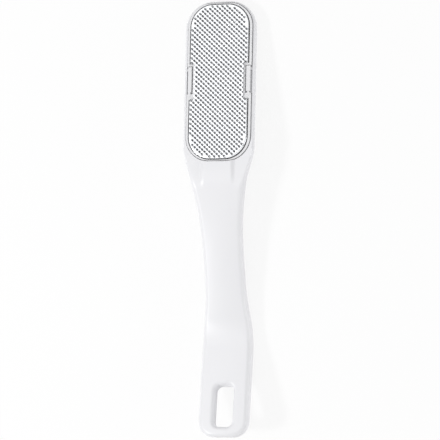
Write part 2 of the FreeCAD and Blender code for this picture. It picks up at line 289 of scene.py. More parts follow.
@dataclass(frozen=True)
class BrightSheet:
    """Bright cold-rolled stainless sheet, pressed and perforated.

    The eye gets a mirror that is softened along the rolling direction, with faint long grain
    lines, slightly duller patches, and painted shade that greys the turned-down edge.
    """

    name: str = "stainless_bright_rolled"
    colour: str = "#ECEDEF"
    dull_colour: str = "#E1E3E6"
    roughness: float = 0.26
    roughness_spread: float = 0.06
    # Real rolling lines are finer: they are drawn this wide so that they show
    grain_width_mm: float = 0.35
    grain_stretch: float = 14.0
    grain_height_mm: float = 0.004
    patch_size_mm: float = 9.0
    # Reach and strength of the painted shade in narrow gaps
    gap_reach_mm: float = 0.6
    gap_shade: float = 0.4
    # Dark grey painted as shade on the turned-down edge, and how far below the border it sets in
    edge_shade_colour: str = "#3A3C40"
    edge_shade_depth_mm: float = 0.15

    def build(self, plate: PlateFrame) -> bpy.types.Material:
        """Builds the node tree: stretched noise for the grain, round noise for the patches.

        Below the border, by its height along the plate's normal, the sheet turns to a painted shade grey.

        Args:
            plate: frame of the plate, whose border is at height zero.

        Returns:
            The finished material.
        """
        material = blank_material(self.name)
        place = add_node(material, "ShaderNodeTexCoord").outputs["Object"]
        along = add_node(
            material, "ShaderNodeMapping",
            {"Vector": place, "Scale": (1.0, 1 / self.grain_stretch, 1.0)},
        )
        grain = add_node(
            material, "ShaderNodeTexNoise",
            {
                "Vector": along.outputs["Vector"],
                "Scale": 1 / (self.grain_width_mm * MILLI),
                "Detail": BUSY_DETAIL,
            },
        )
        patch = add_node(
            material, "ShaderNodeTexNoise",
            {"Vector": place, "Scale": 1 / (self.patch_size_mm * MILLI), "Detail": SOFT_DETAIL},
        )
        tint = add_node(
            material, "ShaderNodeMix",
            {
                MIX_SHARE: patch.outputs["Fac"],
                MIX_FIRST: linear(self.colour),
                MIX_SECOND: linear(self.dull_colour),
            },
            data_type="RGBA",
        )
        # Painted shade: below the border the turned-down edge is coloured dark grey
        height = add_node(
            material, "ShaderNodeVectorMath", {0: place, 1: plate.normal.tolist()},
            operation="DOT_PRODUCT",
        )
        border = float(plate.origin @ plate.normal)
        edge = add_node(
            material, "ShaderNodeMapRange",
            {
                "Value": height.outputs["Value"],
                "From Min": border - 2 * self.edge_shade_depth_mm * MILLI,
                "From Max": border - self.edge_shade_depth_mm * MILLI,
                "To Min": 1.0,
                "To Max": 0.0,
            },
        )
        tint_with_edge_shade = add_node(
            material, "ShaderNodeMix",
            {
                MIX_SHARE: edge.outputs["Result"],
                MIX_FIRST: tint.outputs[MIX_COLOUR],
                MIX_SECOND: linear(self.edge_shade_colour),
            },
            data_type="RGBA",
        )
        gloss = add_node(
            material, "ShaderNodeMapRange",
            {
                "Value": grain.outputs["Fac"],
                "To Min": self.roughness - self.roughness_spread,
                "To Max": self.roughness + self.roughness_spread,
            },
        )
        bump = add_node(
            material, "ShaderNodeBump",
            {"Height": grain.outputs["Fac"], "Distance": self.grain_height_mm * MILLI, "Strength": 1.0},
        )
        # Painted shade greys the colour in the narrow gaps
        gap_shaded = paint_gap_shade(
            material, tint_with_edge_shade.outputs[MIX_COLOUR], self.gap_reach_mm, self.gap_shade
        )
        shader = add_node(
            material, "ShaderNodeBsdfPrincipled",
            {
                "Base Color": gap_shaded,
                "Metallic": 1.0,
                "Roughness": gloss.outputs["Result"],
                "Normal": bump.outputs["Normal"],
            },
        )
        add_node(material, "ShaderNodeOutputMaterial", {"Surface": shader.outputs["BSDF"]})
        return material


def smooth_step(value: np.ndarray, low: float, high: float) -> np.ndarray:
    """Rises from 0 at low to 1 at high along a cubic with level ends."""
    share = np.clip((value - low) / (high - low), 0.0, 1.0)
    return share * share * (3 - 2 * share)


def soft_min(first: np.ndarray, second: np.ndarray, reach: np.ndarray) -> np.ndarray:
    """Lower of two heights, rounded off by a parabola where they are nearer than reach."""
    near = np.maximum(reach - np.abs(first - second), 0.0) / reach
    return np.minimum(first, second) - near * near * reach / 4


def line_run(start: tuple[float, float], end: tuple[float, float], count: int = 60) -> np.ndarray:
    """Points of a straight run in plan: start plus a share of the way to end."""
    share = np.linspace(0.0, 1.0, count)[:, None]
    return np.array(start) * (1 - share) + np.array(end) * share


def arc_run(
    centre: tuple[float, float], radius: float, first: float, last: float, count: int = 120
) -> np.ndarray:
    """Points of an arc in plan: centre plus radius times cosine and sine of the angle in degrees."""
    angle = np.radians(np.linspace(first, last, count))
    return np.array(centre) + radius * np.stack([np.cos(angle), np.sin(angle)], axis=1)


def bezier_run(poles: list[tuple[float, float]], count: int = 240) -> np.ndarray:
    """Points of a cubic Bezier in plan: poles weighted by the four Bernstein polynomials."""
    t = np.linspace(0.0, 1.0, count)[:, None]
    weights = [(1 - t) ** 3, 3 * t * (1 - t) ** 2, 3 * t * t * (1 - t), t ** 3]
    return sum(weight * np.array(pole) for weight, pole in zip(weights, poles))


class PlanPath:
    """Chain of plan curves from the tip's side to the tail's side, sampled by its length."""

    def __init__(self, runs: list[np.ndarray]) -> None:
        """Joins the runs and works out lengths and normals.

        Args:
            runs: points of each run; a run starts where the one before it ends.
        """
        self.points = np.concatenate([runs[0]] + [run[1:] for run in runs[1:]])
        steps = np.hypot(*np.diff(self.points, axis=0).T)
        self.length = np.concatenate([[0.0], np.cumsum(steps)])
        ends = np.cumsum([len(runs[0]) - 1] + [len(run) - 1 for run in runs[1:]])
        self.stops = self.length[np.concatenate([[0], ends])]
        slope = np.gradient(self.points, self.length, axis=0)
        self.normals = np.stack([-slope[:, 1], slope[:, 0]], axis=1)
        self.normals[0] = (0.0, 1.0)
        self.normals[-1] = (0.0, -1.0)

    def sample(self, where: np.ndarray) -> tuple[np.ndarray, np.ndarray]:
        """Points and outward normals at lengths along the path.

        Args:
            where: lengths from the start.

        Returns:
            Points and unit normals, one row for each length.
        """
        points = np.stack([np.interp(where, self.length, self.points[:, k]) for k in (0, 1)], axis=1)
        normals = np.stack([np.interp(where, self.length, self.normals[:, k]) for k in (0, 1)], axis=1)
        return points, normals / np.linalg.norm(normals, axis=1)[:, None]

    def at_height(self, y: float) -> float:
        """Length along the path where it comes down to one y."""
        return float(np.interp(-y, -self.points[:, 1], self.length))


@dataclass(frozen=True)
class SideLine:
    """Side-view line of straight runs joined by arcs; corners are (y, z, radius) from tip to tail."""

    corners: tuple[tuple[float, float, float], ...]

    def height(self, y: np.ndarray) -> np.ndarray:
        """Height of the line: the straight runs, and near a corner the arc that touches both.

        Args:
            y: stations along the handle.

        Returns:
            Height at each station.
        """
        table = np.array(self.corners)[::-1]
        z = np.interp(y, table[:, 0], table[:, 1])
        for before, here, after in zip(self.corners, self.corners[1:], self.corners[2:]):
            point = np.array(here[:2])
            first = np.array(before[:2]) - point
            last = np.array(after[:2]) - point
            first /= np.linalg.norm(first)
            last /= np.linalg.norm(last)
            half = math.acos(float(first @ last)) / 2
            reach = here[2] / math.tan(half)
            middle = (first + last) / np.linalg.norm(first + last)
            centre = point + middle * here[2] / math.sin(half)
            inside = (y < (point + first * reach)[0]) & (y > (point + last * reach)[0])
            side = math.copysign(1.0, here[1] - centre[1])
            rise = np.sqrt(np.maximum(here[2] ** 2 - (y - centre[0]) ** 2, 0.0))
            z = np.where(inside, centre[1] + side * rise, z)
        return z


def between(ends: Sequence[float] | np.ndarray, index: int, share: np.ndarray) -> np.ndarray:
    """Values at shares of the way from one end of a list to the next."""
    return ends[index] + (ends[index + 1] - ends[index]) * share


def make_piece(
    name: str, points: np.ndarray, faces: np.ndarray, material: bpy.types.Material, sharp_angle: float
) -> bpy.types.Object:
    """Makes a mesh object from arrays.

    Args:
        name: name of the piece.
        points: vertices in metres of the row frame.
        faces: four vertex numbers for each face.
        material: finish of the piece.
        sharp_angle: edges that bend more than this, in degrees, stay sharp.

    Returns:
        The new object, linked to the scene.
    """
    mesh = bpy.data.meshes.new(name)
    mesh.vertices.add(len(points))
    mesh.vertices.foreach_set("co", points.astype(np.float32).ravel())
    mesh.loops.add(faces.size)
    mesh.loops.foreach_set("vertex_index", faces.astype(np.int32).ravel())
    mesh.polygons.add(len(faces))
    mesh.polygons.foreach_set("loop_start", np.arange(0, faces.size, faces.shape[1], dtype=np.int32))
    mesh.update(calc_edges=True)
    mesh.validate()
    mesh.polygons.foreach_set("use_smooth", np.ones(len(mesh.polygons), dtype=bool))
    mesh.set_sharp_from_angle(angle=math.radians(sharp_angle))
    mesh.materials.append(material)
    piece = bpy.data.objects.new(name, mesh)
    bpy.context.scene.collection.objects.link(piece)
    LOG.info("built %s with %d faces", name, len(mesh.polygons))
    return piece


def mirrored_tube(points: np.ndarray) -> tuple[np.ndarray, np.ndarray]:
    """Joins closed profiles into a tube and adds its mirror image across the plane x = 0.

    Faces that lie wholly in that plane are left out, so that the two halves are one closed skin.

    Args:
        points: grid of vertices, profile after profile; each profile is a closed loop.

    Returns:
        Vertices and four-sided faces.
    """
    rows, columns = points.shape[:2]
    number = np.arange(rows * columns).reshape(rows, columns)
    following = np.roll(number, -1, axis=1)
    faces = np.stack([number[:-1], following[:-1], following[1:], number[1:]], axis=-1).reshape(-1, 4)
    flat = points.reshape(-1, 3).copy()
    on_plane = np.abs(flat[:, 0]) < PLANE_TOLERANCE
    flat[on_plane, 0] = 0.0
    faces = faces[~on_plane[faces].all(axis=1)]
    twin = np.where(on_plane, np.arange(len(flat)), np.arange(len(flat)) + len(flat))
    both = np.concatenate([flat, flat * np.array([-1.0, 1.0, 1.0])])
    faces = np.concatenate([faces, twin[faces][:, ::-1]])
    used, compact = np.unique(faces, return_inverse=True)
    return both[used], compact.reshape(-1, 4)


def outward(points: np.ndarray, faces: np.ndarray) -> np.ndarray:
    """Turns all faces over if the closed skin's volume, summed face by face, comes out negative."""
    a, b, c, d = (points[faces[:, k]] for k in range(4))
    volume = np.einsum("ij,ij->", a, np.cross(b, c)) + np.einsum("ij,ij->", a, np.cross(c, d))
    return faces if volume > 0 else faces[:, ::-1]


@dataclass
class HandleFront:
    """Front shell of the handle: head rim, tongue, crowned neck and grip, hanging slot.

    Sizes are in millimetres in the plate's frame. Fields that end in counts, points or samples set
    how fine the mesh is. The outline and what lies inside it are paired in blocks, which end at
    recess_low_ends, neck_ends and grip_end_y and spread out round the slot by slot_approach,
    slot_fan and tail_fan.
    """

    tip_y: float = 43.5
    head_half: float = 19.3
    head_corner: float = 14.65
    shoulder_y: float = -36.0
    waist_start_y: float = -93.0
    waist_end_y: float = -107.0
    waist_half: float = 10.75
    grip_start_y: float = -148.0
    grip_half: float = 13.55
    tail_y: float = -187.3
    tail_corner: float = 8.7
    shoulder_shares: tuple[float, float] = (0.1, 0.625)
    grip_shares: tuple[float, float] = (0.325, 0.625)
    front_drop: float = 0.2
    head_thickness: float = 7.0
    belly_thickness: float = 9.8
    tail_thickness: float = 8.8
    neck_bend_y: float = -50.6
    slope_length: float = 85.7
    slope_angle: float = 19.1
    tail_angle: float = 7.35
    neck_bend_radius: float = 25.0
    belly_bend_radius: float = 40.0
    edge_radius: float = 2.8
    grip_edge_radius: float = 2.4
    crown: float = 0.9
    crown_start_y: float = -44.0
    crown_end_y: float = -90.0
    recess_half: float = 17.95
    recess_length: float = 42.7
    recess_corner: float = 13.3
    recess_depth: float = 2.6
    recess_edge: float = 0.2
    pocket_half: float = 15.3
    pocket_length: float = 40.8
    pocket_corner: float = 11.3
    lip_drop: float = 1.3
    lip_fall: float = 0.55
    rim_width: float = 1.35
    lip_fade: tuple[float, float] = (22.0, 42.0)
    tongue_half: float = 8.5
    tongue_softness: float = 1.3
    lip_crease: float = 0.15
    neck_crease: float = 1.1
    crease_fade: tuple[float, float] = (40.0, 48.0)
    slot_half: float = 5.3
    slot_length: float = 22.5
    slot_corner: float = 3.2
    slot_tail_margin: float = 5.2
    slot_edge: float = 2.0
    seam_chamfer: float = 0.12
    past_end: float = 8.0
    edge_share: float = 0.6
    recess_low_ends: tuple[float, float] = (-46.0, -51.0)
    line_start_y: float = -43.1
    neck_ends: tuple[float, float] = (-90.0, -88.0)
    grip_end_y: float = -150.0
    slot_approach: float = 0.4
    slot_fan: float = 1.5
    tail_fan: float = 5.0
    recess_counts: tuple[int, ...] = (9, 37, 28, 45, 18)
    line_counts: tuple[int, ...] = (90, 70, 10)
    slot_counts: tuple[int, ...] = (8, 16, 14, 24, 12)
    side_samples: int = 200
    grip_samples: int = 120
    search_parts: int = 24
    sharp_angle: float = 40.0
    edge_points: int = 10
    top_points: int = 48
    round_points: int = 6
    bottom_points: int = 10
    neck: tuple[float, float] = field(init=False)
    belly: tuple[float, float] = field(init=False)
    tail: tuple[float, float] = field(init=False)

    def __post_init__(self) -> None:
        """Works out the corners of the middle line: flat head, slope down, tail rising again."""
        slope = math.radians(self.slope_angle)
        rise = math.tan(math.radians(self.tail_angle))
        self.neck = (self.neck_bend_y, -self.front_drop - self.head_thickness / 2)
        self.belly = (
            self.neck[0] - self.slope_length * math.cos(slope),
            self.neck[1] - self.slope_length * math.sin(slope),
        )
        self.tail = (self.tail_y, self.belly[1] + (self.belly[0] - self.tail_y) * rise)

    def side_line(self, level: Level) -> SideLine:
        """Side-view line of the front or of the parting.

        Each corner of the middle line is moved out along its bisector, by half the thickness there
        for the front and by nothing for the parting.

        Args:
            level: which line.

        Returns:
            The line from the tip to past the tail.
        """
        slope, turn = math.radians(self.slope_angle), math.radians(self.tail_angle)
        thicknesses = (self.head_thickness, self.belly_thickness, self.tail_thickness)
        head, belly, tail = (level.value * thickness / 2 for thickness in thicknesses)
        lean = (slope - turn) / 2
        stretch = belly / math.cos((slope + turn) / 2)
        end_y = self.tail[0] + tail * math.sin(turn) - self.past_end * math.cos(turn)
        end_z = self.tail[1] + tail * math.cos(turn) + self.past_end * math.sin(turn)
        return SideLine((
            (self.tip_y + self.past_end, self.neck[1] + head, 0.0),
            (
                self.neck[0] - head * math.tan(slope / 2),
                self.neck[1] + head,
                self.neck_bend_radius + head,
            ),
            (
                self.belly[0] - stretch * math.sin(lean),
                self.belly[1] + stretch * math.cos(lean),
                self.belly_bend_radius - belly,
            ),
            (end_y, end_z, 0.0),
        ))

    def outline(self) -> PlanPath:
        """Right half of the handle's outline in plan: lines, arcs and two Bezier curves."""
        shoulder = self.shoulder_y - self.waist_start_y
        grip = self.waist_end_y - self.grip_start_y
        tip_x = self.head_half - self.head_corner
        tail_x = self.grip_half - self.tail_corner
        tip_low = self.tip_y - self.head_corner
        tail_high = self.tail_y + self.tail_corner
        return PlanPath([
            line_run((0.0, self.tip_y), (tip_x, self.tip_y)),
            arc_run((tip_x, tip_low), self.head_corner, 90.0, 0.0),
            line_run(
                (self.head_half, tip_low), (self.head_half, self.shoulder_y), self.side_samples
            ),
            bezier_run([
                (self.head_half, self.shoulder_y),
                (self.head_half, self.shoulder_y - self.shoulder_shares[0] * shoulder),
                (self.waist_half, self.waist_start_y + self.shoulder_shares[1] * shoulder),
                (self.waist_half, self.waist_start_y),
            ]),
            line_run((self.waist_half, self.waist_start_y), (self.waist_half, self.waist_end_y)),
            bezier_run([
                (self.waist_half, self.waist_end_y),
                (self.waist_half, self.waist_end_y - self.grip_shares[0] * grip),
                (self.grip_half, self.grip_start_y + self.grip_shares[1] * grip),
                (self.grip_half, self.grip_start_y),
            ]),
            line_run(
                (self.grip_half, self.grip_start_y), (self.grip_half, tail_high), self.grip_samples
            ),
            arc_run((tail_x, tail_high), self.tail_corner, 0.0, -90.0),
            line_run((tail_x, self.tail_y), (0.0, self.tail_y)),
        ])

    def opening(self, half: float, length: float, corner: float) -> PlanPath:
        """Right half of a rounded rectangle about the plate's middle: lines and two arcs."""
        x = half - corner
        y = length - corner
        return PlanPath([
            line_run((0.0, length), (x, length)),
            arc_run((x, y), corner, 90.0, 0.0),
            line_run((half, y), (half, -y), self.side_samples),
            arc_run((x, -y), corner, 0.0, -90.0),
            line_run((x, -length), (0.0, -length)),
        ])

    def slot(self) -> PlanPath:
        """Right half of the hanging slot where it meets the front: three lines and two arcs."""
        turn = math.radians(self.tail_angle)
        reach = self.slot_tail_margin + self.slot_length / 2
        middle = self.tail_y + reach * math.cos(turn) + self.tail_thickness / 2 * math.sin(turn)
        straight = (self.slot_length / 2 - self.slot_corner) * math.cos(turn)
        flat = self.slot_half - self.slot_corner
        top = middle + straight
        low = middle - straight
        return PlanPath([
            line_run((0.0, top + self.slot_corner), (flat, top + self.slot_corner)),
            arc_run((flat, top), self.slot_corner, 90.0, 0.0),
            line_run((self.slot_half, top), (self.slot_half, low)),
            arc_run((flat, low), self.slot_corner, 0.0, -90.0),
            line_run((flat, low - self.slot_corner), (0.0, low - self.slot_corner)),
        ])

    def top(self, plan: np.ndarray, edge: PlanPath) -> np.ndarray:
        """Height of the front at plan points.

        The side-view line, less a crown that grows with the square of the share of the width, less
        a quarter round near the outline. Beside the tongue it is cut off at the lip, which falls
        outwards along the head.

        Args:
            plan: x and y of each point.
            edge: outline of the handle.

        Returns:
            Height at each point.
        """
        x, y = np.abs(plan[..., 0]), plan[..., 1]
        nearest = np.full(x.shape, np.inf)
        for part in np.array_split(edge.points, self.search_parts):
            gap = np.hypot(x[..., None] - part[:, 0], y[..., None] - part[:, 1])
            nearest = np.minimum(nearest, gap.min(axis=-1))
        share = smooth_step(-y, -self.crown_start_y, -self.crown_end_y)
        radius = self.edge_radius + (self.grip_edge_radius - self.edge_radius) * share
        inset = np.maximum(radius - nearest, 0.0)
        quarter_round = radius - np.sqrt(np.maximum(radius ** 2 - inset ** 2, 0.0))
        width = np.interp(-y, -edge.points[:, 1], edge.points[:, 0])
        width = np.maximum(width, self.waist_half)
        crowned = self.side_line(Level.FRONT).height(y) - self.crown * share * (x / width) ** 2
        crowned = crowned - quarter_round
        past_head = smooth_step(-y, self.crease_fade[0], self.crease_fade[1])
        crease = self.lip_crease + (self.neck_crease - self.lip_crease) * past_head
        fall = self.lip_fall * np.clip(1 - nearest / self.rim_width, 0.0, 1.0)
        fall = fall * (1 - smooth_step(-y, self.lip_fade[0], self.lip_fade[1]))
        level = soft_min(crowned, -self.lip_drop - fall, crease)
        beside = smooth_step(
            x, self.tongue_half - self.tongue_softness, self.tongue_half + self.tongue_softness
        )
        return crowned + (level - crowned) * beside

    def stations(self) -> list[np.ndarray]:
        """Pairs the outline with what lies inside it, block by block from the tip to the tail.

        Returns:
            Outline points, outline normals, inner points, inner normals, pocket points and the kind
            of inner edge: one array of each, with a row for each station.
        """
        edge = self.outline()
        slot = self.slot()
        slot_top = slot.points[0, 1] + self.slot_edge
        blocks = self.recess_blocks(edge)
        blocks += self.line_blocks(edge, slot_top + self.slot_approach)
        blocks += self.slot_blocks(edge, slot, slot_top)
        return [np.concatenate(column) for column in zip(*blocks)]

    def recess_blocks(self, edge: PlanPath) -> list[tuple[np.ndarray, ...]]:
        """Pairs the outline with the recess and the pocket, run by run.

        Args:
            edge: outline of the handle.

        Returns:
            The columns of stations() for each run of the recess.
        """
        recess = self.opening(self.recess_half, self.recess_length, self.recess_corner)
        pocket = self.opening(self.pocket_half, self.pocket_length, self.pocket_corner)
        corner_y = self.recess_corner - self.recess_length
        low_ends = [edge.at_height(y) for y in (corner_y, *self.recess_low_ends)]
        outline_ends = [*edge.stops[:3], *low_ends]
        blocks = []
        for index, count in enumerate(self.recess_counts):
            share = np.linspace(0.0, 1.0, count)
            share = share if index == len(self.recess_counts) - 1 else share[:-1]
            out = between(outline_ends, index, share)
            hole = between(recess.stops, index, share)
            deep = between(pocket.stops, index, share)
            kind = np.full(out.shape, InnerEdge.RECESS.value)
            blocks.append((*edge.sample(out), *recess.sample(hole), pocket.sample(deep)[0], kind))
        return blocks

    def line_blocks(self, edge: PlanPath, last_y: float) -> list[tuple[np.ndarray, ...]]:
        """Pairs the outline with the middle line, from the recess to the slot.

        Args:
            edge: outline of the handle.
            last_y: station at which the last block ends.

        Returns:
            The columns of stations() for each block.
        """
        outline_y = (self.recess_low_ends[1], self.neck_ends[0], self.grip_end_y, last_y)
        outline_ends = [edge.at_height(y) for y in outline_y]
        line_ends = (self.line_start_y, self.neck_ends[1], self.grip_end_y, last_y)
        blocks = []
        for index, count in enumerate(self.line_counts):
            share = np.linspace(0.0, 1.0, count)
            share = share[1:] if index == 0 else share
            share = share if index == len(self.line_counts) - 1 else share[:-1]
            out = between(outline_ends, index, share)
            y = between(line_ends, index, share)
            line = np.stack([np.zeros(y.shape), y], axis=1)
            side = np.tile([1.0, 0.0], (len(y), 1))
            kind = np.full(out.shape, InnerEdge.MIDDLE.value)
            blocks.append((*edge.sample(out), line, side, line, kind))
        return blocks

    def slot_blocks(
        self, edge: PlanPath, slot: PlanPath, slot_top: float
    ) -> list[tuple[np.ndarray, ...]]:
        """Pairs the outline with the hanging slot, run by run.

        Args:
            edge: outline of the handle.
            slot: outline of the slot.
            slot_top: y of the upper end of the slot's rounded edge.

        Returns:
            The columns of stations() for each run of the slot.
        """
        side_top, side_low = (float(slot.sample(slot.stops[k:k + 1])[0][0, 1]) for k in (2, 3))
        outline_y = (slot_top, slot_top - self.slot_fan, side_top, side_low)
        side_ends = [edge.at_height(y) for y in outline_y]
        outline_ends = [*side_ends, edge.stops[-2] - self.tail_fan, edge.stops[-1]]
        blocks = []
        for index, count in enumerate(self.slot_counts):
            share = np.linspace(0.0, 1.0, count)
            share = share if index == len(self.slot_counts) - 1 else share[:-1]
            out = between(outline_ends, index, share)
            hole = between(slot.stops, index, share)
            points, normals = slot.sample(hole)
            kind = np.full(out.shape, InnerEdge.SLOT.value)
            blocks.append((*edge.sample(out), points, normals, points, kind))
        return blocks

    def skin(self) -> np.ndarray:
        """Profiles of the shell, each a closed loop.

        A loop goes up the wall, round the edge, over the front, round the inner edge, down the inner
        wall and back along the parting face.

        Returns:
            Grid of points, station by station.
        """
        edge = self.outline()
        parting = self.side_line(Level.PARTING)
        out, out_normal, inner, inner_normal, pocket, kind = self.stations()
        is_hole = (kind != InnerEdge.MIDDLE.value)[:, None]
        is_recess = (kind == InnerEdge.RECESS.value)[:, None]
        is_slot = (kind == InnerEdge.SLOT.value)[:, None]
        lip = np.where(is_slot, self.slot_edge, self.recess_edge)
        start = inner + inner_normal * lip * is_hole
        span = np.linalg.norm(start - out, axis=1)[:, None]
        share = smooth_step(-out[:, 1:2], -self.crown_start_y, -self.crown_end_y)
        radius = self.edge_radius + (self.grip_edge_radius - self.edge_radius) * share
        reach = np.minimum(radius, self.edge_share * span)
        angle = np.linspace(0.0, math.pi / 2, self.edge_points + 1)
        inset = reach * (1 - np.cos(angle))
        edge_plan = out[:, None, :] - out_normal[:, None, :] * inset[..., None]
        way = np.linspace(0.0, 1.0, self.top_points + 1)[1:]
        top_plan = edge_plan[:, -1:, :] + (start - edge_plan[:, -1])[:, None, :] * way[None, :, None]
        turn = np.linspace(0.0, math.pi / 2, self.round_points + 1)[1:]
        away = lip * (1 - np.sin(turn)) * is_hole
        round_plan = inner[:, None, :] + inner_normal[:, None, :] * away[..., None]
        level = np.zeros((len(out), self.edge_points + 1 + self.top_points))
        drop = np.concatenate([level, lip * (1 - np.cos(turn))], axis=1)
        plan = np.concatenate([edge_plan, top_plan, round_plan], axis=1)
        height = self.top(plan, edge) - drop
        tilt = math.tan(math.radians(self.tail_angle))
        plan[..., 1] -= drop * tilt * is_slot
        front = np.concatenate([plan, height[..., None]], axis=-1)
        seam_plan = out - out_normal * self.seam_chamfer
        seam = np.concatenate([seam_plan, parting.height(out[:, 1])[:, None]], axis=1)
        wall_low = np.concatenate([out, seam[:, 2:] + self.seam_chamfer], axis=1)
        wall_mid = (wall_low + front[:, 0]) / 2
        last = front[:, -1]
        slot_depth = last[:, 2] - parting.height(last[:, 1])
        foot_y = last[:, 1] - slot_depth * tilt * is_slot[:, 0]
        foot = np.stack([last[:, 0], foot_y, parting.height(foot_y)], axis=1)
        pocket_foot = np.concatenate([pocket, parting.height(pocket[:, 1])[:, None]], axis=1)
        foot = np.where(is_recess, pocket_foot, foot)
        floor = np.full((len(out), 1), -self.recess_depth)
        recess_foot = np.concatenate([inner, floor], axis=1)
        pocket_top = np.concatenate([pocket, floor], axis=1)
        below = np.where(is_recess, recess_foot, last + (foot - last) / 3)
        ledge = np.where(is_recess, pocket_top, last + (foot - last) * 2 / 3)
        back_way = np.linspace(0.0, 1.0, self.bottom_points + 2)[1:-1]
        under = foot[:, None, :2] + (seam - foot)[:, None, :2] * back_way[None, :, None]
        under = np.concatenate([under, parting.height(under[..., 1])[..., None]], axis=-1)
        return np.concatenate(
            [
                seam[:, None], wall_low[:, None], wall_mid[:, None], front,
                below[:, None], ledge[:, None], foot[:, None], under,
            ],
            axis=1,
        )

    def build(self, place: PlateFrame, finish: bpy.types.Material) -> None:
        """Makes the shell's skin and puts it in place of the plain front shell.

        Args:
            place: frame of the plate.
            finish: the handle's plastic.
        """
        points, faces = mirrored_tube(self.skin())
        faces = outward(points, faces)
        piece = make_piece("handle_front", place.place(points), faces, finish, self.sharp_angle)
        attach(piece, Body.HANDLE.value)
        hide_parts("front_handle_shell")


@dataclass
class RaspTeeth:
    """Burrs that the punch raises round the holes of the rasp plate.

    Sizes are in millimetres in the plate's frame. The burr's inner edge hangs over the hole by
    lip_overhang.
    """

    pitch_across: float = 2.7
    pitch_along: float = 2.52
    hole_length: float = 1.45
    hole_width: float = 1.0
    turn_angle: float = -45.0
    field_half: float = 15.55
    field_length: float = 41.05
    field_corner: float = 12.4
    field_top: float = 0.4
    edge_margin: float = 0.63
    notch_x: float = 13.65
    notch_half: float = 10.0
    burr_width: float = 0.26
    burr_height: float = 0.16
    crest_offset: float = 0.09
    lip_overhang: float = 0.12
    sunk: float = 0.03
    segments: int = 14
    sharp_angle: float = 50.0

    def centres(self) -> np.ndarray:
        """Middles of the burrs: the staggered lattice of the holes, without those beside a notch.

        A place is kept where it lies edge_margin or more inside the field's outline.

        Returns:
            x and y of each burr.
        """
        columns = int(self.field_half / (self.pitch_across / 2))
        rows = int(self.field_length / (self.pitch_along / 2))
        row, column = np.meshgrid(
            np.arange(-rows, rows + 1), np.arange(-columns, columns + 1), indexing="ij"
        )
        x = column * self.pitch_across / 2
        y = row * self.pitch_along / 2
        past_x = np.maximum(np.abs(x) - (self.field_half - self.field_corner), 0.0)
        past_y = np.maximum(np.abs(y) - (self.field_length - self.field_corner), 0.0)
        fits = np.hypot(past_x, past_y) <= self.field_corner - self.edge_margin
        clear_x = self.notch_x - self.hole_length / 2 - self.burr_width
        in_notch = (np.abs(y) < self.notch_half) & (np.abs(x) > clear_x)
        keep = ((row + column) % 2 == 1) & fits & ~in_notch
        return np.stack([x[keep], y[keep]], axis=1)

    def build(self, place: PlateFrame, finish: bpy.types.Material) -> None:
        """Makes all burrs as one piece: a four-cornered section carried round each oval.

        Args:
            place: frame of the plate.
            finish: the plate's steel.
        """
        centres = self.centres()
        angle = np.linspace(0.0, 2 * math.pi, self.segments, endpoint=False)
        offsets = np.array(
            [self.burr_width, self.crest_offset, -self.lip_overhang, self.crest_offset]
        )
        heights = np.array([-self.sunk, self.burr_height, self.sunk, -self.sunk]) + self.field_top
        along = (self.hole_length / 2 + offsets)[None, :] * np.cos(angle)[:, None]
        across = (self.hole_width / 2 + offsets)[None, :] * np.sin(angle)[:, None]
        turn = math.radians(self.turn_angle)
        x = along * math.cos(turn) - across * math.sin(turn)
        y = along * math.sin(turn) + across * math.cos(turn)
        ring = np.stack([x, y, np.broadcast_to(heights, x.shape)], axis=-1)
        shift = np.concatenate([centres, np.zeros((len(centres), 1))], axis=1)
        points = ring[None] + shift[:, None, None, :]
        number = np.arange(points[..., 0].size).reshape(points.shape[:3])
        after = np.roll(number, -1, axis=1)
        faces = np.stack(
            [number, np.roll(number, -1, axis=2), np.roll(after, -1, axis=2), after], axis=-1
        ).reshape(-1, 4)
        flat = points.reshape(-1, 3)
        faces = outward(flat, faces)
        piece = make_piece("rasp_burrs", place.place(flat), faces, finish, self.sharp_angle)
        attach(piece, Body.CARTRIDGE.value)


